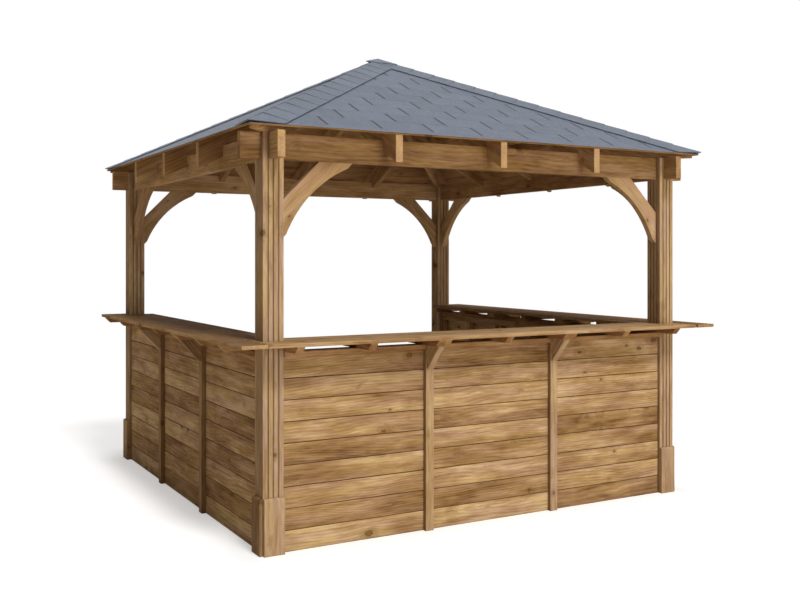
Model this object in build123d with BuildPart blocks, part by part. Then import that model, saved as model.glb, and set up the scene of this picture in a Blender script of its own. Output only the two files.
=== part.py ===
# Outdoor garden bar: a timber shelter with a counter on three sides, open at the back, under a hipped roof.
# Lengths are millimetres and +Z is up. The front faces -Y and the open way in faces +Y.
# Every piece is drawn for the front side, about the middle of the four posts, and is then turned to its side.
import os
from math import cos, radians, sqrt, tan

from build123d import *

os.makedirs("parts", exist_ok=True)

# The four posts, grooved on every face
POST_SPAN = 3000.0
POST = 120.0
POST_TOP = 2288.0
GROOVES = 3
GROOVE_WIDTH = 8.0
GROOVE_DEPTH = 6.0

# Boards round the foot of each post, on its two outer faces
PLINTH_HEIGHT = 310.0
PLINTH = 20.0
PLINTH_CHAMFER = 8.0
PLINTH_CORNER_GAP = 1.0

# Top beams, halved over each other in the post heads
BEAM_WIDTH = 45.0
BEAM_DEPTH = 145.0
BEAM_OUT = 115.0

# Curved knee braces
BRACE = 45.0
BRACE_WIDTH = 148.0
BRACE_REACH = 438.0
BRACE_TIP = 45.0
BRACE_HOLLOW = 52.0

# Boarded wall panels on three sides
WALL_TOP = 1097.0
PLATE = 29.0
WALL_SETBACK = 15.0
PANELS = 3
PANEL_GAP = 2.0
CLADDING = 20.0
CLADDING_BOARDS = 9
JOINT_WIDTH = 7.0
FRAME = 45.0
BATTEN_WIDTH = 55.0
BATTEN = 28.0

# Counter boards, the bearers under them and the brackets on the battens
BEARER = 45.0
BEARER_DEPTH = 38.0
BEARER_OUT = 190.0
BEARER_IN = 165.0
BEARER_CUT = 35.0
BRACKET = 45.0
BRACKET_REACH = 130.0
BRACKET_DROP = 142.0
BRACKET_TIP = 10.0
COUNTER = 20.0
COUNTER_OUT = 190.0
COUNTER_IN = 185.0
COUNTER_BOARD = 145.0
COUNTER_GAP = 5.0
POST_FIT = 2.0

# Rafters of the hipped roof
PITCH = 25.0
RAFTER = 45.0
RAFTER_DEPTH = 142.0
RAFTER_SEAT = 87.0
RAFTER_SPACING = 724.0
RAFTER_OUT = 117.0
HIP_OUT = 90.0

# Roof boards, felt shingles, and the caps over the hips and the peak
DECK = 12.0
DECK_OUT = 120.0
SHINGLE_OUT = 125.0
SHINGLE_BUTT = 5.0
SHINGLE_HEAD = 2.5
COURSES = 11
CAP = 5.0
CAP_HALF_WIDTH = 131.0
PEAK_CAP_HALF_WIDTH = 108.0

# Places worked out from the sizes above
HALF = POST_SPAN / 2
MID_Y = (COUNTER_OUT - SHINGLE_OUT) / 2
POST_LINE = HALF - POST / 2
POST_INNER = HALF - POST
BEAM_BOTTOM = POST_TOP - BEAM_DEPTH
WALL_Y = -HALF + WALL_SETBACK
FRAME_Y = WALL_Y + CLADDING
BATTEN_Y = WALL_Y - BATTEN
PANEL_TOP = WALL_TOP - PLATE
PANEL_PITCH = 2 * POST_INNER / PANELS
PANEL_WIDTH = PANEL_PITCH - PANEL_GAP
COUNTER_Z = WALL_TOP + BEARER_DEPTH
COUNTER_DEPTH = COUNTER_OUT + COUNTER_IN
RISE = tan(radians(PITCH))
PLUMB = 1 / cos(radians(PITCH))
PEAK = POST_TOP + RAFTER_SEAT + (POST_LINE + BEAM_WIDTH / 2) * RISE

SIDES = {"front": 0, "right": 90, "back": 180, "left": 270}
CORNERS = {"front_right": 0, "back_right": 90, "back_left": 180, "front_left": 270}
WALLED = ("front", "left", "right")

# Upright planes through the hips, facing the front slope, and the slopes on the rafters' tops
RIGHT_HIP = Plane(origin=(0, 0, 0), x_dir=(1, -1, 0), z_dir=(-1, -1, 0))
LEFT_HIP = Plane(origin=(0, 0, 0), x_dir=(1, 1, 0), z_dir=(1, -1, 0))
FRONT_SLOPE = Plane(origin=(0, 0, PEAK), x_dir=(1, 0, 0), z_dir=(0, -RISE, 1))
RIGHT_SLOPE = Plane(origin=(0, 0, PEAK), x_dir=(0, 1, 0), z_dir=(RISE, 0, 1))


def save(piece, label):
    """Names a finished piece and writes it."""
    piece.part.label = label
    export_step(piece.part, f"parts/{label}.step")


def stand(piece, *angles):
    """Copies of a piece turned about the upright middle line of the posts and set in the plan."""
    with BuildPart() as placed:
        with Locations(*[Location((0, MID_Y, 0), (0, 0, angle)) for angle in angles]):
            add(piece.part)
    return placed


def mirrored(piece):
    """The same piece on the other side of the object."""
    with BuildPart() as copy:
        mirror(piece.part, about=Plane.YZ)
    return copy


def slope_point(out, lift):
    """A point of the front slope's profile, at a plan distance from the middle and a height off the rafters."""
    return (-out, PEAK - out * RISE + lift * PLUMB)


def post():
    """A post with grooved faces and a cross of open mortises in its head."""
    with BuildPart() as piece:
        with BuildSketch():
            Rectangle(POST, POST)
            with PolarLocations(POST / 2, 4):
                with GridLocations(0, POST / (GROOVES + 1), 1, GROOVES):
                    Rectangle(2 * GROOVE_DEPTH, GROOVE_WIDTH, mode=Mode.SUBTRACT)
        extrude(amount=POST_TOP)
        with Locations((0, 0, POST_TOP - BEAM_DEPTH / 2)):
            Box(POST, BEAM_WIDTH, BEAM_DEPTH, mode=Mode.SUBTRACT)
            Box(BEAM_WIDTH, POST, BEAM_DEPTH, mode=Mode.SUBTRACT)
    with BuildPart() as placed:
        with Locations((POST_LINE, -POST_LINE)):
            add(piece.part)
    return placed


def plinth_boards():
    """The two boards round the foot of the front right post, with a chamfer along the top."""
    with BuildPart() as board:
        with Locations((POST_LINE - PLINTH_CORNER_GAP, -HALF - PLINTH / 2, PLINTH_HEIGHT / 2)):
            Box(POST, PLINTH, PLINTH_HEIGHT)
        top_edge = board.edges().group_by(Axis.Z)[-1].sort_by(Axis.Y)[0]
        chamfer(top_edge, length=PLINTH_CHAMFER)
    with BuildPart() as pair:
        add(board.part)
        mirror(board.part, about=RIGHT_HIP)
    return pair


def beam(notch_from_top):
    """A top beam with a halving at each post."""
    with BuildPart() as piece:
        with Locations((0, -POST_LINE, POST_TOP - BEAM_DEPTH / 2)):
            Box(POST_SPAN + 2 * BEAM_OUT, BEAM_WIDTH, BEAM_DEPTH)
        notch_z = POST_TOP - BEAM_DEPTH / 4 if notch_from_top else BEAM_BOTTOM + BEAM_DEPTH / 4
        with Locations((-POST_LINE, -POST_LINE, notch_z), (POST_LINE, -POST_LINE, notch_z)):
            Box(BEAM_WIDTH, BEAM_WIDTH, BEAM_DEPTH / 2, mode=Mode.SUBTRACT)
    return piece


def brace():
    """A knee brace in the line of the front beam, at its right post, hollowed along the lower edge."""
    shoulder = BRACE_REACH - BRACE_WIDTH * sqrt(2)
    tip = BRACE_TIP / sqrt(2)
    foot = (POST_INNER, BEAM_BOTTOM - BRACE_REACH)
    head = (POST_INNER - BRACE_REACH, BEAM_BOTTOM)
    arc_foot = (foot[0] - tip, foot[1] + tip)
    arc_head = (head[0] + tip, head[1] - tip)
    with BuildPart() as piece:
        with BuildSketch(Plane.XZ.offset(POST_LINE)):
            with BuildLine():
                Line((POST_INNER, BEAM_BOTTOM - shoulder), foot)
                Line(foot, arc_foot)
                SagittaArc(arc_foot, arc_head, -BRACE_HOLLOW)
                Line(arc_head, head)
                Line(head, (POST_INNER - shoulder, BEAM_BOTTOM))
                Line((POST_INNER - shoulder, BEAM_BOTTOM), (POST_INNER, BEAM_BOTTOM - shoulder))
            make_face()
        extrude(amount=BRACE / 2, both=True)
    return piece


def corner_braces():
    """The two braces of the front right post."""
    knee = brace()
    with BuildPart() as pair:
        add(knee.part)
        mirror(knee.part, about=RIGHT_HIP)
    return pair


def cladding():
    """The boarding of one wall: a sheet of level boards for each panel, with a V joint between boards."""
    board = PANEL_TOP / CLADDING_BOARDS
    with BuildPart() as panel:
        with BuildSketch(Plane.YZ):
            with Locations((WALL_Y + CLADDING / 2, PANEL_TOP / 2)):
                Rectangle(CLADDING, PANEL_TOP)
            with Locations(*[(WALL_Y, board * row) for row in range(1, CLADDING_BOARDS)]):
                Rectangle(JOINT_WIDTH / sqrt(2), JOINT_WIDTH / sqrt(2), 45, mode=Mode.SUBTRACT)
        extrude(amount=PANEL_WIDTH / 2, both=True)
    with BuildPart() as wall:
        with GridLocations(PANEL_PITCH, 0, PANELS, 1):
            add(panel.part)
    return wall


def wall_rails():
    """The top and bottom rails of the panels' frames."""
    middle = (0, FRAME_Y + FRAME / 2, PANEL_TOP / 2)
    with BuildPart() as rails:
        with Locations(Plane(origin=middle, x_dir=(1, 0, 0), z_dir=(0, -1, 0))):
            with GridLocations(PANEL_PITCH, PANEL_TOP - FRAME, PANELS, 2):
                Box(PANEL_WIDTH, FRAME, FRAME)
    return rails


def wall_plate():
    """The flat plate along the wall top, over the panels' frames, their boards and the battens."""
    depth = BATTEN + CLADDING + FRAME
    with BuildPart() as plate:
        with Locations((0, BATTEN_Y + depth / 2, PANEL_TOP + PLATE / 2)):
            Box(2 * POST_INNER - PANEL_GAP, depth, PLATE)
    return plate


def wall_studs():
    """The studs of the panels' frames, at both edges and the middle of each panel."""
    with BuildPart() as studs:
        with Locations((0, FRAME_Y + FRAME / 2, PANEL_TOP / 2)):
            with GridLocations(PANEL_PITCH, 0, PANELS, 1):
                with GridLocations((PANEL_WIDTH - FRAME) / 2, 0, 3, 1):
                    Box(FRAME, FRAME, PANEL_TOP - 2 * FRAME)
    return studs


def battens():
    """The upright battens over the joints between panels."""
    with BuildPart() as pieces:
        with Locations((0, BATTEN_Y + BATTEN / 2, PANEL_TOP / 2)):
            with GridLocations(PANEL_PITCH, 0, PANELS - 1, 1):
                Box(BATTEN_WIDTH, BATTEN, PANEL_TOP)
    return pieces


def brackets():
    """The triangular brackets that stand on the battens' faces, under the bearers."""
    reach = BATTEN_Y - BRACKET_REACH
    drop = WALL_TOP - BRACKET_DROP
    with BuildPart() as bracket:
        with BuildSketch(Plane.YZ):
            with BuildLine():
                Polyline(
                    (BATTEN_Y, WALL_TOP),
                    (reach, WALL_TOP),
                    (reach, WALL_TOP - BRACKET_TIP),
                    (BATTEN_Y - BRACKET_TIP, drop),
                    (BATTEN_Y, drop),
                    close=True,
                )
            make_face()
        extrude(amount=BRACKET / 2, both=True)
    with BuildPart() as pieces:
        with GridLocations(PANEL_PITCH, 0, PANELS - 1, 1):
            add(bracket.part)
    return pieces


def bearers(places):
    """Bearers across the wall top at the given places, sloped under their outer ends."""
    outer = -HALF - BEARER_OUT
    inner = -HALF + BEARER_IN
    with BuildPart() as bearer:
        with BuildSketch(Plane.YZ):
            with BuildLine():
                Polyline(
                    (outer, COUNTER_Z),
                    (inner, COUNTER_Z),
                    (inner, WALL_TOP),
                    (outer + BEARER_CUT, WALL_TOP),
                    (outer, WALL_TOP + BEARER_CUT),
                    close=True,
                )
            make_face()
        extrude(amount=BEARER / 2, both=True)
    with BuildPart() as row:
        with Locations(*[(place, 0, 0) for place in places]):
            add(bearer.part)
    return row


def bearer_places(right_end):
    """Bearers at the left post, at the panels' middles, in pairs at their joints, and at the right."""
    middles = [PANEL_PITCH * (n - (PANELS - 1) / 2) for n in range(PANELS)]
    joints = [PANEL_PITCH * (n - PANELS / 2) for n in range(1, PANELS)]
    beside = (BEARER + PANEL_GAP) / 2
    pairs = [joint + shift for joint in joints for shift in (-beside, beside)]
    return [-POST_INNER + BEARER / 2] + middles + pairs + [right_end]


def counter_board_rows():
    """The outer edge and width of each counter board, from the outside in."""
    row = COUNTER_BOARD + COUNTER_GAP
    outer = -HALF - COUNTER_OUT
    inner_width = COUNTER_DEPTH - 2 * row
    return [(outer, COUNTER_BOARD), (outer + row, COUNTER_BOARD), (outer + 2 * row, inner_width)]


def post_cutter():
    """The room that the counters leave round the two front posts."""
    hole = POST + 2 * POST_FIT
    with BuildPart() as cutter:
        with Locations((-POST_LINE, -POST_LINE, COUNTER_Z), (POST_LINE, -POST_LINE, COUNTER_Z)):
            Box(hole, hole, 4 * COUNTER)
    return cutter


def front_counter():
    """The front counter's boards, between the outer boards of the side counters, with bevelled ends."""
    half_length = HALF + COUNTER_OUT - COUNTER_BOARD - COUNTER_GAP
    cutter = post_cutter()
    with BuildPart() as counter:
        for outer, width in counter_board_rows():
            with BuildSketch(Plane.XZ.offset(-outer)):
                with BuildLine():
                    Polyline(
                        (-half_length, COUNTER_Z),
                        (half_length, COUNTER_Z),
                        (half_length - COUNTER, COUNTER_Z + COUNTER),
                        (-half_length + COUNTER, COUNTER_Z + COUNTER),
                        close=True,
                    )
                make_face()
            extrude(amount=-width)
        add(cutter.part, mode=Mode.SUBTRACT)
    return counter


def side_counter():
    """A side counter, drawn as the front one: its outer board runs on past the right post to the corner."""
    rows = counter_board_rows()
    corner = HALF + COUNTER_OUT
    inner_end = HALF - COUNTER_IN - COUNTER_GAP
    ends = [corner, inner_end, inner_end]
    starts = [HALF, HALF, POST_INNER]
    cutter = post_cutter()
    with BuildPart() as counter:
        for (outer, width), start, end in zip(rows, starts, ends):
            length = start + end
            with Locations((end - length / 2, outer + width / 2, COUNTER_Z + COUNTER / 2)):
                Box(length, width, COUNTER)
        add(cutter.part, mode=Mode.SUBTRACT)
    return counter


def rafters():
    """Three rafters of the front slope, notched over the beam and fitted against the hip rafters."""
    tail = HALF + RAFTER_OUT
    hip_right = RIGHT_HIP.offset(RAFTER / 2)
    hip_left = LEFT_HIP.offset(RAFTER / 2)
    with BuildPart() as rafter:
        with BuildSketch(Plane.YZ):
            with BuildLine():
                Polyline(
                    slope_point(tail, 0),
                    slope_point(0, 0),
                    slope_point(0, -RAFTER_DEPTH),
                    slope_point(tail, -RAFTER_DEPTH),
                    close=True,
                )
            make_face()
            with Locations((-POST_LINE, POST_TOP - BEAM_DEPTH / 2)):
                Rectangle(BEAM_WIDTH, BEAM_DEPTH, mode=Mode.SUBTRACT)
        extrude(amount=RAFTER / 2, both=True)
    with BuildPart() as row:
        with GridLocations(RAFTER_SPACING, 0, 3, 1):
            add(rafter.part)
        split(bisect_by=hip_right, keep=Keep.TOP)
        split(bisect_by=hip_left, keep=Keep.TOP)
    return row


def hip_rafter():
    """The hip rafter over the front right post, backed to both slopes, with a mitred head and a level tail."""
    tail = HALF + HIP_OUT
    tail_middle = (POST_INNER + tail) / 2
    depth = RAFTER_DEPTH * PLUMB
    with BuildPart() as hip:
        with BuildSketch(RIGHT_HIP):
            with BuildLine():
                Polyline(
                    (0, PEAK),
                    (tail * sqrt(2), PEAK - tail * RISE),
                    (tail * sqrt(2), PEAK - tail * RISE - depth),
                    (0, PEAK - depth),
                    close=True,
                )
            make_face()
        extrude(amount=RAFTER / 2, both=True)
        split(bisect_by=FRONT_SLOPE, keep=Keep.BOTTOM)
        split(bisect_by=RIGHT_SLOPE, keep=Keep.BOTTOM)
        split(bisect_by=Plane.YZ, keep=Keep.TOP)
        split(bisect_by=Plane.XZ, keep=Keep.TOP)
        with Locations((tail_middle, -tail_middle, POST_TOP - RAFTER_DEPTH)):
            Box(tail - POST_INNER + RAFTER, tail - POST_INNER + RAFTER, 2 * RAFTER_DEPTH, mode=Mode.SUBTRACT)
    return hip


def slope_slab(outline):
    """A layer of the front slope with the given profile, cut along both hips."""
    with BuildPart() as slab:
        with BuildSketch(Plane.YZ):
            with BuildLine():
                Polyline(*outline, close=True)
            make_face()
        extrude(amount=HALF + SHINGLE_OUT, both=True)
        split(bisect_by=RIGHT_HIP, keep=Keep.TOP)
        split(bisect_by=LEFT_HIP, keep=Keep.TOP)
    return slab


def even_profile(reach, low, high):
    """The profile of an even layer that reaches out from the middle, between two heights off the rafters."""
    return [slope_point(reach, low), slope_point(0, low), slope_point(0, high), slope_point(reach, high)]


def shingle_profile():
    """The profile of the shingle courses, each one lapped over the course below."""
    reach = HALF + SHINGLE_OUT
    step = reach / COURSES
    points = [slope_point(reach, DECK), slope_point(0, DECK)]
    for course in range(COURSES):
        points.append(slope_point(course * step, DECK + SHINGLE_HEAD))
        points.append(slope_point((course + 1) * step, DECK + SHINGLE_BUTT))
    return points


def hip_cap():
    """The folded cap along the front right hip."""
    low = DECK + SHINGLE_BUTT
    with BuildPart() as half:
        add(slope_slab(even_profile(HALF + SHINGLE_OUT, low, low + CAP)).part)
        split(bisect_by=RIGHT_HIP.offset(CAP_HALF_WIDTH), keep=Keep.BOTTOM)
        split(bisect_by=Plane.YZ, keep=Keep.TOP)
    with BuildPart() as cap:
        add(half.part)
        mirror(half.part, about=RIGHT_HIP)
    return cap


# Posts and their foot boards
corner_post = post()
for corner, angle in CORNERS.items():
    save(stand(corner_post, angle), f"{corner}_post")
save(stand(plinth_boards(), *CORNERS.values()), "post_plinths")

# Beams and braces
for side, angle in SIDES.items():
    save(stand(beam(side in ("left", "right")), angle), f"{side}_beam")
brace_pair = corner_braces()
for corner, angle in CORNERS.items():
    save(stand(brace_pair, angle), f"{corner}_braces")

# Walls on three sides
wall_boards = cladding()
rail_row = wall_rails()
stud_row = wall_studs()
top_plate = wall_plate()
for side in WALLED:
    save(stand(wall_boards, SIDES[side]), f"{side}_cladding")
    save(stand(rail_row, SIDES[side]), f"{side}_wall_rails")
    save(stand(stud_row, SIDES[side]), f"{side}_wall_studs")
    save(stand(top_plate, SIDES[side]), f"{side}_wall_plate")
wall_angles = [SIDES[side] for side in WALLED]
save(stand(battens(), *wall_angles), "joint_battens")
save(stand(brackets(), *wall_angles), "counter_brackets")

# Counters, with the right one a mirror of the left one
front_bearers = bearers(bearer_places(POST_INNER - BEARER / 2))
side_bearers = stand(bearers(bearer_places(HALF - BEARER_IN - BEARER / 2)), SIDES["left"])
save(stand(front_bearers, SIDES["front"]), "front_bearers")
save(side_bearers, "left_bearers")
save(mirrored(side_bearers), "right_bearers")
left_counter = stand(side_counter(), SIDES["left"])
save(stand(front_counter(), SIDES["front"]), "front_counter")
save(left_counter, "left_counter")
save(mirrored(left_counter), "right_counter")

# Roof
rafter_row = rafters()
deck = slope_slab(even_profile(HALF + DECK_OUT, 0, DECK))
shingles = slope_slab(shingle_profile())
for side, angle in SIDES.items():
    save(stand(rafter_row, angle), f"{side}_rafters")
    save(stand(deck, angle), f"{side}_roof_boards")
    save(stand(shingles, angle), f"{side}_shingles")
hip = hip_rafter()
for corner, angle in CORNERS.items():
    save(stand(hip, angle), f"{corner}_hip_rafter")
save(stand(hip_cap(), *CORNERS.values()), "hip_caps")
peak_low = DECK + SHINGLE_BUTT + CAP
peak_quarter = slope_slab(even_profile(PEAK_CAP_HALF_WIDTH, peak_low, peak_low + CAP))
save(stand(peak_quarter, *SIDES.values()), "peak_cap")
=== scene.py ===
import math
import random
from collections import namedtuple

import bmesh
import bpy
from mathutils import Matrix, Vector

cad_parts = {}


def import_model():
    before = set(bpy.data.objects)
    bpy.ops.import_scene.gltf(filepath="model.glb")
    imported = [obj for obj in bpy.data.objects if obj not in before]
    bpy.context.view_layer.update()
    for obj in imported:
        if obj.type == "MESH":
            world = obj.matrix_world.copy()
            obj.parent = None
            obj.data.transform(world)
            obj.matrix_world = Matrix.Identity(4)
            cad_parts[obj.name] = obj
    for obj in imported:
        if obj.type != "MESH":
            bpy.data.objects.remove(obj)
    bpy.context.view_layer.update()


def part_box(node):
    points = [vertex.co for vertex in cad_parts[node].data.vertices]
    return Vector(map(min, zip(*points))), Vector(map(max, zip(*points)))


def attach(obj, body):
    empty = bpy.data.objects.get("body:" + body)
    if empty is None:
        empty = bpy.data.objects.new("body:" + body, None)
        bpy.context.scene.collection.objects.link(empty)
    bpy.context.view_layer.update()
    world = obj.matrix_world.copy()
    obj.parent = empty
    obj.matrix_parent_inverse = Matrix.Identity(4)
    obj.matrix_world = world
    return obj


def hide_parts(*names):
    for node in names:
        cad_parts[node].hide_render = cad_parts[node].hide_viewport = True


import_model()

# Sizes in metres and angles in radians, unless a line says otherwise. What the frame holds is read from it.

# Edges and the joining of flat faces
EDGE = 0.0018                   # eased edge of planed timber
POST_EDGE = 0.0012
WALL_BOARD_EDGE = 0.0006
FELT_EDGE = 0.0007
EASED_TURN = 0.5                # an edge is eased where its faces turn by more than this
SHARP_TURN = math.radians(28)   # and it is shaded as a sharp one above this
FLAT_TURN = math.radians(0.5)
SAME_POINT = 1e-6
GRAIN_SHIFT = 40                # how far apart the grains of two boards may start

# Wall boards
WALL_PANELS = 3
PANEL_GAP = 0.0015
POST_GAP = 0.004                # what the boards stop short of the posts
BOARD_ROWS = 9                  # level boards on each wall
BOARD_CHAMFER = 0.0022          # eased edge that makes the V joint between boards
CHAMFER_PLAY = (0.8, 1.15)      # the least and the most of it that a board has
BOARD_GAP = 0.0014
BOARD_PLAY = 0.0008             # the most that one board's face lies behind the next

# Faces that took more or less stain, and faces with painted shade. Areas are in square metres, and a slant is
# a part of a face's normal.
GROOVE_SHOULDER = 0.0014        # faces further in than this belong to a groove
GROOVE_SLANT = 0.5
SAWN_AREA = 0.008               # a sawn end is smaller than this
SAWN_SLANT = 0.1
SAWN_PALENESS = 0.45
BATTEN_AREA = 0.040             # a batten's narrow side is smaller than this
# painted shade on the battens' narrow sides, as a share of the soaked colour
BATTEN_SIDE_SHADE = 0.85
TOP_SLANT = 0.9
TOP_PAINTED_SHADE = 0.80                 # painted shade of the roof on the side counters' tops, as a share of the stain's soaked colour
JOINT_SLANTS = (-0.5, 0.9)      # between the slants of a board's back and of its front

# Roof boards, and how far each covering stops short of the peak
ROOF_PITCH = math.radians(25)
ROOF_BOARD_WIDTH = 0.120
ROOF_BOARD_CHAMFER = 0.0025
ROOF_BOARD_GAP = 0.0008
ROOF_BOARD_DROP = 0.0006        # from the felt down to a board's top
ROOF_BOARD_STOP = 0.001
SLIT_SHADE_STOP = 0.002
TAB_STOP = 0.004
CAP_STOP = 0.010
PAST_HIPS = 3                   # a half width that reaches past both hips, which then cut it off

# Shingles
COURSES = 11
TABS_EACH_WAY = 6
TAB_WIDTH = 0.341
TAB_START = -0.131              # a slit's place in the first course, from the middle of the slope
SLIT = 0.016
SLIT_PLAY = 0.001
BUTT_PLAY = 0.0015              # how far a tab's lower edge may lie above or below its course's line
STARTER = 0.037                 # the plain strip below the first course of tabs
FELT = 0.0016
TAB_LAP = 0.018
TAB_BED = 0.15                  # the height of a tab's head over its bed, as a share of the felt
TAB_RISE = (0.2, 0.4)           # the least and the most that its lower edge stands higher, as such shares
# the near-black sheet under the tabs, painted shade at the bottom of the slits
SLIT_SHADE_START = 0.006
SLIT_SHADE_THICKNESS = 0.0008

# Caps on the hips and the peak
CAP_REACH = 0.152               # a hip cap's half width, square to the hip on the slope
CAP_PLAY = 0.002
CAP_COURSES = 15
CAP_LAP = 0.030
CAP_START = 0.030               # how much longer the lowest caps are than the rest, besides their tips
CAP_FELT = 0.0050
CAP_BED = 0.0090                # a cap's height over the roof boards, near the hip
CAP_HUG = 0.42                  # the share of that height at a cap's lower edges
CAP_OVER = 0.8                  # the share of the felt by which a cap's lower end stands higher
CAP_FOLD = 0.012                # from the hip to where the fold ends
CAP_CREST = 0.001
CAP_TIP = 0.008                 # how far the lowest caps run past the corners
CAP_TRIM = 0.9                  # how steeply the lowest caps' ends are cut back from there
PEAK_REACH = 0.108
PEAK_LIFT = 0.018
PEAK_FELT = 0.004
PEAK_OPEN = (0.62, 0.22)        # how far the cap's back left corner reaches and drops, beside the others

SIDES = {"front": 0, "right": 1, "back": 2, "left": 3}
WALLED = ("front", "left", "right")
CORNERS = {"front_right": 0, "back_right": 1, "back_left": 2, "front_left": 3}

# The photograph's camera: a level view with the lens shifted down. Lens and sensor are in millimetres.
CAMERA_PLACE = (-3.4286, -6.3879, 1.6145)
CAMERA_TURN = math.radians(-29.41)
CAMERA_LENS = 43.84
CAMERA_SENSOR = 36
CAMERA_SHIFT_Y = -0.0545

# Light and floor. Elevations and bearings are in degrees, and a bearing of 0 comes from the front.
LAMP_AIM = (0, 0, 1.2)
LAMP_DISTANCE = 12
KEY_ELEVATION = 50.0
KEY_BEARING = 3.0
KEY_SPREAD = 16.0
KEY_STRENGTH = 1.85
TOP_ELEVATION = 88.0
TOP_BEARING = 0.0
TOP_SPREAD = 12.0
TOP_STRENGTH = 0.90
FILL_PLACE = (0.6, -12.0, 1.8)
FILL_SIZE = 5.0
FILL_POWER = 500.0
WHITE = (1.0, 1.0, 1.0, 1.0)
SKY_LOW = 0.05
SKY_HIGH = 0.48
SKY_TINT = (1.0, 0.94, 0.88, 1.0)
FLOOR_HALF = 60
FLOOR_WHITE = (0.75, 0.75, 0.75, 1.0)    # the floor's reflection as the camera sees it
FLOOR_GLOW = 0.425
FLOOR_BOUNCE = (0.62, 0.56, 0.50, 1.0)   # its reflection as it lights the object
FADE_START = 3.0
FADE_END = 5.0

post_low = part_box("front_left_post")[0]
post_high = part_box("back_right_post")[1]
MID_Y = (post_high[1] + post_low[1]) / 2
rng = random.Random(7)


# Helpers for places on the four sides

def turn(point, quarter):
    """A point drawn for the front side, about the middle of the posts, turned to another side."""
    spot = Matrix.Rotation(quarter * math.pi / 2, 3, "Z") @ Vector(point)
    return spot + Vector((0, MID_Y, 0))


# Node trees

class Tree:
    """The node tree of a material or a world, with short calls for the nodes that they use."""

    def __init__(self, owner):
        owner.use_nodes = True
        self.owner = owner
        self.nodes = owner.node_tree.nodes
        self.links = owner.node_tree.links

    def plug(self, socket, value):
        """Links a socket to another or, where the value is a plain one, sets it."""
        if isinstance(value, bpy.types.NodeSocket):
            self.links.new(value, socket)
        elif value is not None:
            socket.default_value = value

    def add(self, kind, inputs=(), **settings):
        node = self.nodes.new(kind)
        for key, value in settings.items():
            setattr(node, key, value)
        for key, value in dict(inputs).items():
            self.plug(node.inputs[key], value)
        return node

    def math(self, operation, a, b=None, c=None, clamp=False):
        node = self.add("ShaderNodeMath", operation=operation, use_clamp=clamp)
        for socket, value in zip(node.inputs, (a, b, c)):
            self.plug(socket, value)
        return node.outputs[0]

    def span(self, value, low, high, out_low=0.0, out_high=1.0, smooth=True):
        """The value's way from low to high, as a way from out_low to out_high."""
        node = self.add("ShaderNodeMapRange", {"Value": value, "From Min": low, "From Max": high,
                                               "To Min": out_low, "To Max": out_high})
        node.interpolation_type = "SMOOTHSTEP" if smooth else "LINEAR"
        return node.outputs["Result"]

    def vector(self, x, y, z):
        return self.add("ShaderNodeCombineXYZ", {"X": x, "Y": y, "Z": z}).outputs[0]

    def noise(self, vector, scale=1.0, detail=2.0, roughness=0.5):
        node = self.add("ShaderNodeTexNoise", {"Vector": vector, "Scale": scale, "Detail": detail,
                                               "Roughness": roughness})
        return node.outputs["Fac"]

    def attribute(self, name):
        return self.add("ShaderNodeAttribute", attribute_name=name)

    def channels(self, colour):
        return self.add("ShaderNodeSeparateColor", {"Color": colour}).outputs

    def sway(self, level, waves):
        """A level moved by each wave's swing about its middle, times the wave's share."""
        for wave, share in waves:
            level = self.math("MULTIPLY_ADD", self.math("SUBTRACT", wave, 0.5), share, level)
        return level

    def ramp(self, factor, low, middle, high):
        """A colour between three stops, each a place and a colour."""
        node = self.add("ShaderNodeValToRGB", {"Fac": factor})
        stops = node.color_ramp.elements
        stops[0].position, stops[0].color = low
        stops[1].position, stops[1].color = high
        stops.new(middle[0]).color = middle[1]
        return node.outputs["Color"]

    def blend(self, factor, a, b, mode="MIX"):
        node = self.add("ShaderNodeMix", data_type="RGBA", blend_type=mode)
        self.plug(node.inputs[0], factor)
        self.plug(node.inputs[6], a)
        self.plug(node.inputs[7], b)
        return node.outputs[2]

    def bump(self, height, distance, strength):
        node = self.add("ShaderNodeBump", {"Height": height, "Distance": distance, "Strength": strength})
        return node.outputs[0]

    def surface(self, colour, roughness, specular, normal):
        """Gives a material's own shader its colour, roughness, gloss and relief."""
        shader = self.nodes["Principled BSDF"]
        for key, value in (("Base Color", colour), ("Roughness", roughness), ("Specular IOR Level", specular),
                           ("Normal", normal)):
            self.plug(shader.inputs[key], value)


def rgb(red, green, blue):
    """A screen colour of 0 to 255 as linear light."""
    def linear(value):
        value /= 255
        return value / 12.92 if value <= 0.04045 else ((value + 0.055) / 1.055) ** 2.4
    return (linear(red), linear(green), linear(blue), 1.0)


def scaled(colour, shares):
    """A colour with a share of each of its channels."""
    return tuple(value * share for value, share in zip(colour, shares)) + (1.0,)


# Timber

# A wave has so many turns a metre along and across the grain
Wave = namedtuple("Wave", "along across detail roughness", defaults=(2.0, 0.5))
FIBRE = Wave(9.0, 520.0, 3.0, 0.6)
STREAK = Wave(1.6, 70.0, 3.0, 0.62)
STAIN = Wave(4.4, 21.0, 2.5)
CLOUD = Wave(1.7, 6.5)
FLECK = Wave(14.0, 95.0, 3.0, 0.55)
HUE = Wave(1.95, 15.6, 3.0, 0.6)
KNOT_EDGE = Wave(70.0, 110.0)
PITH = Wave(1.1, 2.0)
RING_EDGE = Wave(4.0, 80.0)

# How much each of them darkens a board
FIBRE_SHARE = 0.20
STREAK_SHARE = 0.52
STAIN_SHARE = 0.62
CLOUD_SHARE = 0.80
FLECK_SHARE = 0.38
TONE_SHARE = 0.30
LATE_SHARE = 0.11
LATE_OFFSET = -0.05
SHADE_STOPS = (0.14, 0.50, 0.90)   # the shades of the pale, middle and dark colours

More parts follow.
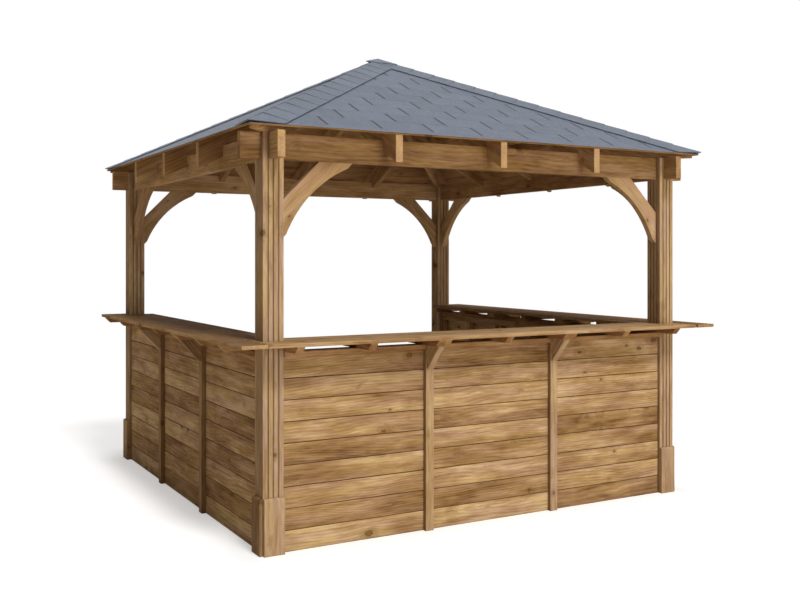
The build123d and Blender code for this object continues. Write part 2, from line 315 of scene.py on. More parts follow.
# Knots. A heart, rim or halo runs from where it sets in to where it is full, in shares of the knot's reach.
KNOT_SHARE = 0.29               # the share of the cells that hold a knot
KNOT_CELLS = 12.0               # in a metre across the grain
KNOT_SCATTER = 0.95
KNOT_ALONG = 0.62
KNOT_THROUGH = 0.35
KNOT_LEAST = 0.055              # the smallest knot's reach, in cells
KNOT_MORE = 0.11                # what the biggest one adds to it
KNOT_RAGGED = 1.1
KNOT_SMOOTH = 0.45
KNOT_HEART = (1.3, 0.6)
KNOT_RIM_OUT = (1.4, 1.0)
KNOT_RIM_IN = (0.5, 1.0)
KNOT_HALO = (4.2, 0.9)

# Growth rings, round a pith that wanders outside the board
RINGS = 72.0                    # in a metre
RING_RAGGED = 0.6
RING_BEND = 0.018               # how far a knot pushes them aside
PITH_WANDER = 0.14
PITH_DEPTH = 0.030
PITH_DEPTH_WANDER = 0.05
LATE_START = (0.25, 0.85)       # where in a ring its dark part sets in and is full
LATE_END = (1.0, 0.88)          # where it is over and where it is still full

# What stains, knots and recesses make of the colour
YELLOW_STAIN = (1.01, 1.01, 0.90, 1.0)
ROSY_STAIN = (0.99, 0.975, 1.10, 1.0)
HUE_DRIFT = (0.38, 0.62)
HEART_SHARES = (0.80, 0.66, 0.55)
RIM_SHARES = (0.34, 0.27, 0.24)
SOAKED_AND_SHADED_SHARES = (0.62, 0.52, 0.44)
HALO_STRENGTH = 0.34
HEART_STRENGTH = 0.60
RIM_STRENGTH = 0.48

TIMBER_ROUGHNESS = 0.57         # the least, which the fibres add to
TIMBER_ROUGHNESS_PLAY = 0.22
TIMBER_SPECULAR = 0.02
TIMBER_RELIEF = 0.0002
TIMBER_RELIEF_STRENGTH = 0.45
LATE_RELIEF = 0.5
RIM_RELIEF = 0.8


class TimberTree(Tree):
    """A timber's node tree, with the grain, the tone, and the soaked stain and painted shade that its boards
    carry.
    """

    def __init__(self, name):
        super().__init__(bpy.data.materials.new(name))
        self.tone = self.attribute("tone").outputs["Fac"]
        self.soaked_and_shaded = self.attribute("soaked_and_shaded").outputs["Fac"]
        grain = self.attribute("grain").outputs["Vector"]
        self.along, self.across, self.through = self.add("ShaderNodeSeparateXYZ", {"Vector": grain}).outputs

    def wave(self, wave):
        """A wave's noise, stretched along the grain."""
        place = self.vector(self.math("MULTIPLY", self.along, wave.along),
                            self.math("MULTIPLY", self.across, wave.across),
                            self.math("MULTIPLY", self.through, wave.across))
        return self.noise(place, 1.0, wave.detail, wave.roughness)


def knot_masks(t):
    """Where the knots lie: their hearts, their dark rims, and the wide halos that bend the rings."""
    oval = t.vector(t.math("MULTIPLY", t.along, KNOT_ALONG), t.across,
                    t.math("MULTIPLY", t.through, KNOT_THROUGH))
    cells = t.add("ShaderNodeTexVoronoi", {"Vector": oval, "Scale": KNOT_CELLS, "Randomness": KNOT_SCATTER})
    lot, size, _ = t.channels(cells.outputs["Color"])
    chosen = t.math("LESS_THAN", lot, KNOT_SHARE)
    ragged = t.math("MULTIPLY_ADD", t.wave(KNOT_EDGE), KNOT_RAGGED, KNOT_SMOOTH)
    reach = t.math("MULTIPLY", t.math("MULTIPLY_ADD", size, KNOT_MORE, KNOT_LEAST), ragged)
    near = t.math("DIVIDE", cells.outputs["Distance"], reach)
    heart = t.span(near, *KNOT_HEART)
    rim = t.math("MULTIPLY", t.span(near, *KNOT_RIM_OUT), t.span(near, *KNOT_RIM_IN))
    halo = t.span(near, *KNOT_HALO)
    return [t.math("MULTIPLY", mask, chosen) for mask in (heart, rim, halo)]


def late_wood(t, halo):
    """The dark part of each growth ring."""
    wander = t.wave(PITH)
    side = t.math("ADD", t.across, t.math("MULTIPLY_ADD", wander, PITH_WANDER, -PITH_WANDER / 2))
    depth = t.math("ADD", t.math("MULTIPLY_ADD", wander, PITH_DEPTH_WANDER, PITH_DEPTH), t.through)
    square = t.math("ADD", t.math("MULTIPLY", side, side), t.math("MULTIPLY", depth, depth))
    radius = t.math("MULTIPLY_ADD", halo, RING_BEND, t.math("SQRT", square))
    rings = t.math("MULTIPLY_ADD", t.wave(RING_EDGE), RING_RAGGED, t.math("MULTIPLY", radius, RINGS))
    ring = t.math("FRACT", rings)
    return t.math("MULTIPLY", t.span(ring, *LATE_START), t.span(ring, *LATE_END))


def stain_shade(t, late, fibre, blotch):
    """How dark the stain is: fine fibres, long streaks and stain that took unevenly."""
    start = t.math("MULTIPLY_ADD", late, LATE_SHARE, LATE_OFFSET)
    waves = ((fibre, FIBRE_SHARE), (t.wave(STREAK), STREAK_SHARE), (t.wave(STAIN), STAIN_SHARE * blotch),
             (t.wave(CLOUD), CLOUD_SHARE * blotch), (t.wave(FLECK), FLECK_SHARE), (t.tone, TONE_SHARE))
    return t.math("ADD", t.sway(start, waves), 0.5, clamp=True)


def stained(t, shade, stain):
    """The stain's colour for a shade, drifting between a yellow and a rosy tint."""
    colour = t.ramp(shade, *zip(SHADE_STOPS, (stain.pale, stain.middle, stain.dark)))
    tint = t.blend(t.span(t.wave(HUE), *HUE_DRIFT), YELLOW_STAIN, ROSY_STAIN)
    return t.blend(1.0, colour, tint, "MULTIPLY")


def timber(name, stain):
    """Stained softwood: growth rings, knots, fibres and blotches of stain, along each board's own grain."""
    t = TimberTree(name)
    heart, rim, halo = knot_masks(t)
    late = late_wood(t, halo)
    fibre = t.wave(FIBRE)
    colour = stained(t, stain_shade(t, late, fibre, stain.blotch), stain)
    # The dark soaked colour is stain soaked into the wall boards' joints, and painted shade in the posts'
    # grooves, on the battens' narrow sides and on the side counters' tops.
    layers = ((halo, HALO_STRENGTH, stain.dark), (heart, HEART_STRENGTH, scaled(stain.dark, HEART_SHARES)),
              (rim, RIM_STRENGTH, scaled(stain.dark, RIM_SHARES)),
              (t.soaked_and_shaded, stain.soak, scaled(stain.dark, SOAKED_AND_SHADED_SHARES)))
    for mask, strength, other in layers:
        colour = t.blend(t.math("MULTIPLY", mask, strength), colour, other)
    colour = t.blend(t.math("MULTIPLY", t.soaked_and_shaded, -1.0, clamp=True), colour, stain.pale)
    roughness = t.math("MULTIPLY_ADD", fibre, TIMBER_ROUGHNESS_PLAY, TIMBER_ROUGHNESS)
    relief = t.math("SUBTRACT", t.math("MULTIPLY_ADD", late, LATE_RELIEF, fibre),
                    t.math("MULTIPLY", rim, RIM_RELIEF))
    t.surface(colour, roughness, TIMBER_SPECULAR, t.bump(relief, TIMBER_RELIEF, TIMBER_RELIEF_STRENGTH))
    return t.owner


# Felt. A noise has its turns a metre, its detail and its roughness.
GRIT = (620.0, 3.0, 0.75)
MOTTLE = (85.0, 2.0, 0.6)
DRIFT = (7.0, 3.0, 0.6)
SPECKLE_SCALE = 480.0
GRIT_SHARE = 0.80
MOTTLE_SHARE = 0.95
SPECKLE_SHARE = 0.35
DRIFT_SHARE = 0.55
TAB_TONE_SHARE = 0.14
FELT_HIGHLIGHT = 1.42           # the palest granules beside the felt's own colour
FELT_ROUGHNESS = 0.50
FELT_ROUGHNESS_PLAY = 0.15
FELT_SPECULAR = 0.5
FELT_RELIEF = 0.0006
FELT_RELIEF_STRENGTH = 0.7


def felt(name, base, deep):
    """Mineral felt: fine granules, drifts of tone, and a shade of its own on every tab."""
    t = Tree(bpy.data.materials.new(name))
    grain = t.attribute("grain").outputs["Vector"]
    grit = t.noise(grain, *GRIT)
    mottle = t.noise(grain, *MOTTLE)
    drift = t.noise(grain, *DRIFT)
    speckle = t.add("ShaderNodeTexVoronoi", {"Vector": grain, "Scale": SPECKLE_SCALE}).outputs["Color"]
    fleck = t.channels(speckle)[0]
    tone = t.attribute("tone").outputs["Fac"]
    level = t.sway(0.5, ((grit, GRIT_SHARE), (mottle, MOTTLE_SHARE), (fleck, SPECKLE_SHARE),
                         (drift, DRIFT_SHARE), (tone, TAB_TONE_SHARE)))
    pale = tuple(min(1.0, value * FELT_HIGHLIGHT) for value in base[:3]) + (1.0,)
    colour = t.ramp(level, (0.0, deep), (0.5, base), (1.0, pale))
    roughness = t.math("MULTIPLY_ADD", grit, FELT_ROUGHNESS_PLAY, FELT_ROUGHNESS)
    relief = t.bump(t.math("ADD", grit, fleck), FELT_RELIEF, FELT_RELIEF_STRENGTH)
    t.surface(colour, roughness, FELT_SPECULAR, relief)
    return t.owner


# A stain has three colours. Blotch is how unevenly it took, and the last field is how dark it soaks into
# joints, and how deep the painted shade is in the posts' grooves, on the battens' narrow sides and on the
# side counters' tops.
Stain = namedtuple("Stain", "pale middle dark blotch soak", defaults=(1.0, 0.85))
STAINS = {
    "post_timber": Stain(rgb(195, 167, 130), rgb(162, 131, 95), rgb(115, 84, 52), blotch=0.65, soak=0.5),
    "beam_timber": Stain(rgb(200, 165, 119), rgb(164, 128, 85), rgb(112, 79, 44)),
    "board_timber": Stain(rgb(209, 179, 134), rgb(165, 131, 90), rgb(109, 76, 41), blotch=1.05),
    "counter_timber": Stain(rgb(196, 165, 123), rgb(161, 127, 86), rgb(112, 79, 43), blotch=0.8),
    "frame_timber": Stain(rgb(190, 153, 108), rgb(156, 118, 76), rgb(108, 74, 42), blotch=0.9),
    "roof_boarding": Stain(rgb(190, 152, 106), rgb(158, 120, 78), rgb(104, 72, 40)),
}
# The braces' stain: a paler copy of the beams', painted light for the light that the braces catch below the
# eave's shadow.
BRACE_PAINTED_LIGHT = Stain(rgb(199, 168, 129), rgb(171, 137, 97), rgb(125, 91, 55), blotch=0.8)

FINISHES = {slot: timber(slot, stain) for slot, stain in STAINS.items()}
FINISHES["felt_shingle"] = felt("felt_shingle", rgb(85, 93, 107), rgb(52, 60, 74))
CAP_FINISH = felt("felt_cap", rgb(88, 96, 109), rgb(56, 64, 77))
BRACE_PAINTED_LIGHT_FINISH = timber("pale_timber", BRACE_PAINTED_LIGHT)
# A near-black felt: painted shade in the slits between tabs.
SLIT_SHADE_FINISH = felt("slit_shade_felt", rgb(14, 16, 22), rgb(9, 11, 16))


# Making and finishing meshes

def islands(shape):
    """The loose parts of a mesh, each as a list of faces."""
    seen = set()
    found = []
    for seed in shape.faces:
        if seed in seen:
            continue
        seen.add(seed)
        group = [seed]
        for face in group:
            for edge in face.edges:
                for other in edge.link_faces:
                    if other not in seen:
                        seen.add(other)
                        group.append(other)
        found.append(group)
    return found


def grain_frame(group):
    """A board's own axes: its longest edge runs along the grain, and its widest face looks through it."""
    edges = [edge for face in group for edge in face.edges]
    longest = max(edges, key=lambda edge: edge.calc_length())
    along = (longest.verts[1].co - longest.verts[0].co).normalized()
    if along[max(range(3), key=lambda axis: abs(along[axis]))] < 0:
        along.negate()
    beside = [face for face in group if abs(face.normal.dot(along)) < 0.5]
    widest = max(beside, key=lambda face: face.calc_area())
    through = (widest.normal - along * widest.normal.dot(along)).normalized()
    return along, through.cross(along), through


def ease_edges(shape, bevel):
    inner = [edge for edge in shape.edges if len(edge.link_faces) == 2]
    sharp = [edge for edge in inner if edge.calc_face_angle() > EASED_TURN]
    bmesh.ops.bevel(shape, geom=sharp, offset=bevel, segments=1, profile=0.5, affect="EDGES",
                    clamp_overlap=True)


def mark_soak_and_shade(shape, soak_and_shade_of):
    """Writes the test's value for each face: 1 takes all of the dark soaked colour, which is stain soaked
    into joints and painted shade on other faces, and less than 0 is paler.
    """
    soaked_and_shaded = shape.loops.layers.float.new("soaked_and_shaded")
    for face in shape.faces:
        depth = soak_and_shade_of(face)
        for loop in face.loops:
            loop[soaked_and_shaded] = depth


def lay_grain(shape):
    """Gives each loose part its own place in the grain and its own tone."""
    grain = shape.verts.layers.float_vector.new("grain")
    tone = shape.verts.layers.float.new("tone")
    for group in islands(shape):
        along, across, through = grain_frame(group)
        shift = Vector([rng.uniform(0, GRAIN_SHIFT) for _ in range(3)])
        shade = rng.random()
        verts = list(dict.fromkeys(vert for face in group for vert in face.verts))
        middle = sum((vert.co for vert in verts), Vector()) / len(verts)
        for vert in verts:
            off = vert.co - middle
            vert[grain] = Vector((off.dot(along), off.dot(across), off.dot(through))) + shift
            vert[tone] = shade


def finish_piece(name, shape, slot, material=None, bevel=EDGE, body="root", replaced=(), soak_and_shade_of=None):
    """Makes an object of a mesh: eased edges, the grain and tone of every board, its finish and its place."""
    if bevel:
        ease_edges(shape, bevel)
    shape.faces.ensure_lookup_table()
    if soak_and_shade_of:
        mark_soak_and_shade(shape, soak_and_shade_of)
    lay_grain(shape)
    mesh = bpy.data.meshes.new(name)
    shape.to_mesh(mesh)
    shape.free()
    mesh.shade_smooth()
    mesh.set_sharp_from_angle(angle=SHARP_TURN)
    mesh.materials.append(material or FINISHES[slot])
    piece = bpy.data.objects.new(name, mesh)
    bpy.context.scene.collection.objects.link(piece)
    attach(piece, body)
    if replaced:
        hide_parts(*replaced)
    return piece


def add_prism(shape, low, high):
    """A closed solid between two outlines of as many points."""
    bottom = [shape.verts.new(point) for point in low]
    top = [shape.verts.new(point) for point in high]
    count = len(bottom)
    shape.faces.new(list(reversed(bottom)))
    shape.faces.new(top)
    for n in range(count):
        after = (n + 1) % count
        shape.faces.new((bottom[n], bottom[after], top[after], top[n]))


def fix_normals(shape):
    bmesh.ops.recalc_face_normals(shape, faces=shape.faces)
    return shape


# Timber pieces with the nodes' own shapes

def node_shape(node):
    """A copy of a frame node's solids with flat faces joined up."""
    source = bpy.data.objects[node]
    shape = bmesh.new()
    shape.from_mesh(source.data)
    bmesh.ops.remove_doubles(shape, verts=shape.verts, dist=SAME_POINT)
    bmesh.ops.dissolve_limit(shape, angle_limit=FLAT_TURN, verts=shape.verts, edges=shape.edges)
    return shape


def dress(node, slot, bevel=EDGE, soak_and_shade_of=None, material=None):
    """A timber piece with the node's own shape, its edges eased and its grain laid along each solid."""
    return finish_piece(f"dressed_{node}", node_shape(node), slot, material=material, bevel=bevel,
                        replaced=(node,), soak_and_shade_of=soak_and_shade_of)


def sawn_end(face):
    """The plumb ends of rafters took less stain than their sides."""
    return -SAWN_PALENESS if abs(face.normal.z) < SAWN_SLANT and face.calc_area() < SAWN_AREA else 0.0


def painted_side_shade(face):
    """Painted shade: the battens' narrow sides are darker than their broad faces."""
    return BATTEN_SIDE_SHADE if face.calc_area() < BATTEN_AREA else 0.0


def painted_top_shade(face):
    """Painted shade: the side counters' tops, under the roof, are darker than their edges."""
    return TOP_PAINTED_SHADE if face.normal.z > TOP_SLANT else 0.0


def dress_post(corner):
    """A post whose grooves are darker than its faces, with painted shade."""
    low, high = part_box(f"{corner}_post")
    middle = [(a + b) / 2 for a, b in zip(low, high)]
    half = (high[0] - low[0]) / 2

    def painted_groove_shade(face):
        spot = face.calc_center_median()
        inset = half - max(abs(spot[0] - middle[0]), abs(spot[1] - middle[1]))
        return 1.0 if inset > GROOVE_SHOULDER and abs(face.normal.z) < GROOVE_SLANT else 0.0

    return dress(f"{corner}_post", "post_timber", bevel=POST_EDGE, soak_and_shade_of=painted_groove_shade)


# Walls

def board_profile(front, back, low, high):
    """A wall board's outline from the end: depths and heights, eased along both of its front edges."""
    face = front + rng.uniform(0, BOARD_PLAY)
    ease = BOARD_CHAMFER * rng.uniform(*CHAMFER_PLAY)
    return [(back, low), (back, high), (face + ease, high), (face, high - ease), (face, low + ease),
            (face + ease, low)]


def in_joint(side):
    """A test that picks out the faces in the joints of a wall: all but the boards' fronts and backs."""
    outward = turn((0, -1, 0), SIDES[side]) - turn((0, 0, 0), SIDES[side])
    back, front = JOINT_SLANTS
    return lambda face: 1.0 if back < face.normal.dot(outward) < front else 0.0


def wall_boards(side):
    """The level boards of one wall, three panels wide, each board a solid of its own."""
    low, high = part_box("front_cladding")
    pitch = (high[0] - low[0]) / WALL_PANELS
    width = pitch - PANEL_GAP
    row = (high[2] - low[2]) / BOARD_ROWS
    shape = bmesh.new()
    for panel in range(WALL_PANELS):
        left = low[0] + pitch * panel + (pitch - width) / 2
        right = left + width - (POST_GAP if panel == WALL_PANELS - 1 else 0)
        left += POST_GAP if panel == 0 else 0
        for n in range(BOARD_ROWS):
            z = low[2] + row * n
            profile = board_profile(low[1] - MID_Y, high[1] - MID_Y, z, z + row - BOARD_GAP)
            add_prism(shape, *([turn((x, y, height), SIDES[side]) for y, height in profile]
                               for x in (left, right)))
    return finish_piece(f"{side}_wall_boards", fix_normals(shape), "board_timber", bevel=WALL_BOARD_EDGE,
                        replaced=(f"{side}_cladding",), soak_and_shade_of=in_joint(side))


# Roof: sizes from the frame's own roof boards and felt

felt_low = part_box("front_shingles")[0]
deck_low, deck_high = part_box("front_roof_boards")
SIN = math.sin(ROOF_PITCH)
COS = math.cos(ROOF_PITCH)
DECK_REACH = -(deck_low[1] - MID_Y)
DECK_PLUMB = (deck_high[2] - deck_low[2]) - DECK_REACH * math.tan(ROOF_PITCH)
DECK = DECK_PLUMB * COS
DECK_EAVE = deck_low[2] + DECK_PLUMB
FELT_REACH = -(felt_low[1] - MID_Y)
FELT_EAVE = DECK_EAVE - (FELT_REACH - DECK_REACH) * math.tan(ROOF_PITCH)
SLOPE = FELT_REACH / COS
COURSE = SLOPE / COURSES


def on_slope(x, up, lift, quarter):
    """A place on a slope: along the eave, up the slope from the felt's edge, and off the roof boards' top."""
    y = -FELT_REACH + up * COS - lift * SIN
    return turn((x, y, FELT_EAVE + up * SIN + lift * COS), quarter)


def clip(outline, normal, limit):
    """The part of an outline where the point times the normal stays under the limit."""
    kept = []
    for n, point in enumerate(outline):
        before = outline[n - 1]
        here = point[0] * normal[0] + point[1] * normal[1] - limit
        there = before[0] * normal[0] + before[1] * normal[1] - limit
        if (here < 0) != (there < 0):
            share = there / (there - here)
            kept.append(tuple(a + (b - a) * share for a, b in zip(before, point)))
        if here < 0:
            kept.append(point)
    return kept


def between_hips(low, high, left=-PAST_HIPS, right=PAST_HIPS):
    """A strip of a slope between two heights, cut off along both hips."""
    outline = [(left, low), (right, low), (right, high), (left, high)]
    outline = clip(outline, (1, COS), FELT_REACH)
    return clip(outline, (-1, COS), FELT_REACH)


def add_sheet(shape, outline, lift, thickness, quarter):
    """A thin solid over an outline on a slope, where lift gives its underside's height at each point."""
    low = [on_slope(x, up, lift(up), quarter) for x, up in outline]
    high = [on_slope(x, up, lift(up) + thickness, quarter) for x, up in outline]
    add_prism(shape, low, high)


def roof_boards(side):
    """The boards nailed across the rafters, from the eave to the peak, cut to the hips."""
    shape = bmesh.new()
    eave = (FELT_REACH - DECK_REACH) / COS
    for n in range(math.ceil((SLOPE - eave) / ROOF_BOARD_WIDTH)):
        low = eave + n * ROOF_BOARD_WIDTH
        outline = between_hips(low, min(low + ROOF_BOARD_WIDTH - ROOF_BOARD_GAP, SLOPE - ROOF_BOARD_STOP))
        if len(outline) > 2:
            add_sheet(shape, outline, lambda up: -DECK, DECK - ROOF_BOARD_DROP, SIDES[side])
    return finish_piece(f"{side}_roof_boarding", fix_normals(shape), "roof_boarding",
                        bevel=ROOF_BOARD_CHAMFER, replaced=(f"{side}_roof_boards",))


def add_tab(shape, left, right, butt, quarter):
    """One felt tab, proud of the felt below at its lower edge, unless the hips cut all of it away."""
    droop = rng.uniform(-BUTT_PLAY, BUTT_PLAY)
    head = min(butt + COURSE + TAB_LAP, SLOPE - TAB_STOP)
    outline = between_hips(butt + droop, head, left, right)
    if len(outline) < 3:
        return
    rise = rng.uniform(*TAB_RISE)

    def lift(up):
        return FELT * (TAB_BED + rise * (1 - (up - butt) / (COURSE + TAB_LAP)))

    add_sheet(shape, outline, lift, FELT, quarter)


def shingle_tabs(side):
    """Courses of felt tabs with slits between them, each course lapped over the one below."""
    shape = bmesh.new()
    add_sheet(shape, between_hips(0, STARTER + TAB_LAP), lambda up: FELT * TAB_BED, FELT, SIDES[side])
    for course in range(COURSES):
        start = TAB_START + (course % 2) * TAB_WIDTH / 2
        for n in range(-TABS_EACH_WAY, TABS_EACH_WAY):
            left = start + n * TAB_WIDTH + SLIT / 2 + rng.uniform(-SLIT_PLAY, SLIT_PLAY)
            right = start + (n + 1) * TAB_WIDTH - SLIT / 2 + rng.uniform(-SLIT_PLAY, SLIT_PLAY)
            add_tab(shape, left, right, STARTER + course * COURSE, SIDES[side])
    return finish_piece(f"{side}_shingle_tabs", fix_normals(shape), "felt_shingle", bevel=FELT_EDGE,
                        replaced=(f"{side}_shingles",))


def slit_shade_sheet(side):
    """A near-black sheet under the tabs, painted shade that shows at the bottom of the slits."""
    shape = bmesh.new()
    outline = between_hips(SLIT_SHADE_START, SLOPE - SLIT_SHADE_STOP)
    add_sheet(shape, outline, lambda up: 0.0, SLIT_SHADE_THICKNESS, SIDES[side])
    return finish_piece(f"{side}_underlay", fix_normals(shape), "felt_shingle", material=SLIT_SHADE_FINISH, bevel=0)


# Caps on the hips and the peak

def hip_axes():
    """The front right hip's direction, and each slope's outward normal and direction away from the hip."""
    uphill = Vector((-1, 1, math.tan(ROOF_PITCH))).normalized()
    normals = [Vector((0, -SIN, COS)), Vector((SIN, 0, COS))]
    aways = []
    for normal, inward in zip(normals, (Vector((-1, 0, 0)), Vector((0, 1, 0)))):
        away = normal.cross(uphill).normalized()
        aways.append(away if away.dot(inward) > 0 else -away)
    return uphill, normals, aways


def cap_end(axes, spot, reach, lift, trim=0.0):
    """The lines of points across one end of a cap, under the felt and over it, from edge to edge."""
    uphill, normals, aways = axes
    over_hip = (normals[0] + normals[1]).normalized()

    def place(side, mark, rise):
        height = lift * (CAP_HUG if mark == reach else 1.0) + rise
        return spot + aways[side] * mark + normals[side] * height + uphill * (mark * trim)

    return [[place(0, reach, rise), place(0, CAP_FOLD, rise), spot + over_hip * (lift + rise + CAP_CREST),
             place(1, CAP_FOLD, rise), place(1, reach, rise)] for rise in (0.0, CAP_FELT)]


def add_cap(shape, lower, upper, quarter):
    """A bent strip of felt between two ends, each given by its lines of points under and over the felt."""
    (low_in, low_out), (up_in, up_out) = [
        [[shape.verts.new(turn(point, quarter)) for point in line] for line in end] for end in (lower, upper)]
    for n in range(len(low_in) - 1):
        shape.faces.new((low_out[n], low_out[n + 1], up_out[n + 1], up_out[n]))
        shape.faces.new((low_in[n + 1], low_in[n], up_in[n], up_in[n + 1]))
        shape.faces.new((low_in[n], low_in[n + 1], low_out[n + 1], low_out[n]))
        shape.faces.new((up_in[n + 1], up_in[n], up_out[n], up_out[n + 1]))
    for n in (0, -1):
        shape.faces.new((low_in[n], low_out[n], up_out[n], up_in[n]))


def hip_caps():
    """Folded felt caps lapped up each hip. The lowest ones are longer and end in a point over the corner."""
    axes = hip_axes()
    uphill = axes[0]
    corner = Vector((FELT_REACH, -FELT_REACH, FELT_EAVE))
    length = FELT_REACH * math.sqrt(2 + math.tan(ROOF_PITCH) ** 2)
    step = length / CAP_COURSES
    shape = bmesh.new()
    for quarter in CORNERS.values():
        for n in range(CAP_COURSES):
            reach = CAP_REACH + rng.uniform(-CAP_PLAY, CAP_PLAY)
            low = CAP_START + n * step if n else -CAP_TIP
            high = min(CAP_START + (n + 1) * step + CAP_LAP, length - CAP_STOP)
            lower = cap_end(axes, corner + uphill * low, reach, CAP_BED + CAP_FELT * CAP_OVER,
                            trim=0.0 if n else CAP_TRIM)
            upper = cap_end(axes, corner + uphill * high, reach, CAP_BED)
            add_cap(shape, lower, upper, quarter)
    return finish_piece("folded_hip_caps", fix_normals(shape), "felt_shingle", material=CAP_FINISH,
                        bevel=FELT_EDGE, replaced=("hip_caps",))


def peak_cap():
    """The square cap folded over the peak, open at its back left corner, where it stands off the felt."""
    shape = bmesh.new()
    peak = FELT_EAVE + FELT_REACH * math.tan(ROOF_PITCH)
    drop = PEAK_REACH * math.tan(ROOF_PITCH)
    corners = [(-1, -1, 1.0, 1.0), (1, -1, 1.0, 1.0), (1, 1, 1.0, 1.0), (-1, 1) + PEAK_OPEN]
    layers = []
    for rise in (PEAK_LIFT, PEAK_LIFT + PEAK_FELT):
        top = shape.verts.new((0, MID_Y, peak + rise))
        ring = []
        for x, y, reach, fall in corners:
            reach *= PEAK_REACH
            ring.append(shape.verts.new((x * reach, y * reach + MID_Y, peak - drop * fall + rise)))
        layers.append((top, ring))
    (low_top, low_ring), (high_top, high_ring) = layers
    for n in range(4):
        after = (n + 1) % 4
        shape.faces.new((high_top, high_ring[n], high_ring[after]))
        shape.faces.new((low_top, low_ring[after], low_ring[n]))
        shape.faces.new((low_ring[n], low_ring[after], high_ring[after], high_ring[n]))
    return finish_piece("folded_peak_cap", fix_normals(shape), "felt_shingle", material=CAP_FINISH,
                        bevel=FELT_EDGE, replaced=("peak_cap",))


# Stage, light and camera

def sees_white(t):
    """A value of 1 for the rays that see the background: the camera's, reflected ones and through glass."""
    path = t.add("ShaderNodeLightPath").outputs
    seen = t.math("MAXIMUM", path["Is Camera Ray"], path["Is Glossy Ray"])
    return t.math("MAXIMUM", seen, path["Is Transmission Ray"])


def white_floor():
    """A white floor that keeps the object's soft shadow and fades to plain white away from it."""
    t = Tree(bpy.data.materials.new("floor"))
    t.nodes.clear()
    diffuse = t.add("ShaderNodeBsdfDiffuse", {"Color": FLOOR_WHITE})
    glow = t.add("ShaderNodeEmission", {"Color": WHITE, "Strength": FLOOR_GLOW})
    lit = t.add("ShaderNodeAddShader", {0: diffuse.outputs[0], 1: glow.outputs[0]})
    white = t.add("ShaderNodeEmission", {"Color": WHITE, "Strength": 1.0})
    place = t.add("ShaderNodeNewGeometry").outputs["Position"]
    distance = t.add("ShaderNodeVectorMath", {0: place}, operation="LENGTH").outputs["Value"]
    faded = t.add("ShaderNodeMixShader", {0: t.span(distance, FADE_START, FADE_END), 1: lit.outputs[0],
                                          2: white.outputs[0]})
    bounce = t.add("ShaderNodeBsdfDiffuse", {"Color": FLOOR_BOUNCE})
    surface = t.add("ShaderNodeMixShader", {0: sees_white(t), 1: bounce.outputs[0], 2: faded.outputs[0]})
    t.add("ShaderNodeOutputMaterial", {"Surface": surface.outputs[0]})
    return t.owner


def floor():
    mesh = bpy.data.meshes.new("floor")
    corners = [(x * FLOOR_HALF, y * FLOOR_HALF, 0) for x, y in ((-1, -1), (1, -1), (1, 1), (-1, 1))]
    mesh.from_pydata(corners, [], [(0, 1, 2, 3)])
    mesh.materials.append(white_floor())
    plane = bpy.data.objects.new("floor", mesh)
    bpy.context.scene.collection.objects.link(plane)


def world():
    """Even light from all round, stronger from above, with white behind the object and in reflections."""
    t = Tree(bpy.data.worlds.new("studio"))
    heading = t.add("ShaderNodeTexCoord").outputs["Generated"]
    height = t.add("ShaderNodeSeparateXYZ", {"Vector": heading}).outputs["Z"]
    sky = t.span(t.math("MULTIPLY", height, height), 0.0, 1.0, SKY_LOW, SKY_HIGH, smooth=False)
    seen = sees_white(t)
    back = t.nodes["Background"]
    t.plug(back.inputs["Strength"], t.span(seen, 0.0, 1.0, sky, 1.0, smooth=False))
    t.plug(back.inputs["Color"], t.blend(seen, SKY_TINT, WHITE))
    bpy.context.scene.world = t.owner


def hang(data, place):
    """Stands a light at a place, looking at the middle of the object."""
    holder = bpy.data.objects.new(data.name, data)
    aim = Vector(LAMP_AIM) - Vector(place)
    holder.rotation_mode = "QUATERNION"
    holder.rotation_quaternion = aim.to_track_quat("-Z", "Y")
    holder.location = place
    bpy.context.scene.collection.objects.link(holder)


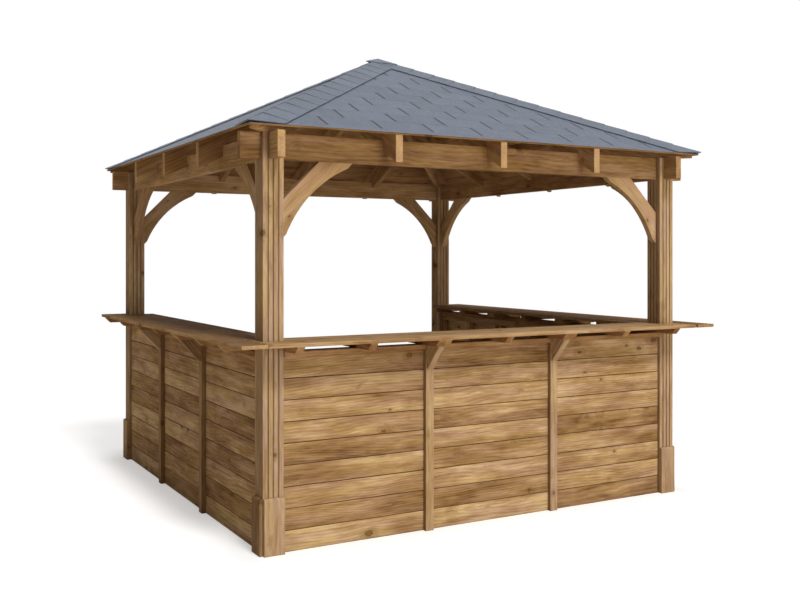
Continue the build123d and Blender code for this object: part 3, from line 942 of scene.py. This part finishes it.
def distant_light(name, elevation, bearing, spread, strength):
    """A light from far off, at an elevation and a bearing, as wide across as its spread."""
    data = bpy.data.lights.new(name, "SUN")
    data.energy = strength
    data.angle = math.radians(spread)
    elevation = math.radians(elevation)
    bearing = math.radians(bearing)
    level = math.cos(elevation)
    heading = Vector((math.sin(bearing) * level, -math.cos(bearing) * level, math.sin(elevation)))
    hang(data, Vector(LAMP_AIM) + heading * LAMP_DISTANCE)


def fill_light():
    """A large weak light low in front."""
    data = bpy.data.lights.new("fill", "AREA")
    data.shape = "SQUARE"
    data.size = FILL_SIZE
    data.energy = FILL_POWER
    hang(data, FILL_PLACE)


def camera():
    data = bpy.data.cameras.new("camera")
    data.sensor_width = CAMERA_SENSOR
    data.lens = CAMERA_LENS
    data.shift_y = CAMERA_SHIFT_Y
    holder = bpy.data.objects.new("camera", data)
    holder.location = CAMERA_PLACE
    holder.rotation_euler = (math.pi / 2, 0, CAMERA_TURN)
    bpy.context.scene.collection.objects.link(holder)
    bpy.context.scene.camera = holder


# Timber frame
for corner in CORNERS:
    dress_post(corner)
    # The braces have a paler copy of the beams' timber: painted light.
    dress(f"{corner}_braces", "beam_timber", material=BRACE_PAINTED_LIGHT_FINISH)
    dress(f"{corner}_hip_rafter", "beam_timber")
for side in SIDES:
    dress(f"{side}_beam", "beam_timber")
    dress(f"{side}_rafters", "beam_timber", soak_and_shade_of=sawn_end)
dress("post_plinths", "post_timber")

# Walls and counters
for side in WALLED:
    wall_boards(side)
    for part in ("wall_rails", "wall_studs", "wall_plate", "bearers"):
        dress(f"{side}_{part}", "frame_timber")
    # The side counters' tops carry painted shade.
    dress(f"{side}_counter", "counter_timber", soak_and_shade_of=None if side == "front" else painted_top_shade)
dress("joint_battens", "frame_timber", material=FINISHES["post_timber"], soak_and_shade_of=painted_side_shade)
dress("counter_brackets", "frame_timber", material=FINISHES["post_timber"])

# Roof covering
for side in SIDES:
    roof_boards(side)
    slit_shade_sheet(side)
    shingle_tabs(side)
hip_caps()
peak_cap()

floor()
world()
distant_light("key", KEY_ELEVATION, KEY_BEARING, KEY_SPREAD, KEY_STRENGTH)
distant_light("top", TOP_ELEVATION, TOP_BEARING, TOP_SPREAD, TOP_STRENGTH)
fill_light()
camera()
bpy.context.scene.view_settings.view_transform = "Standard"
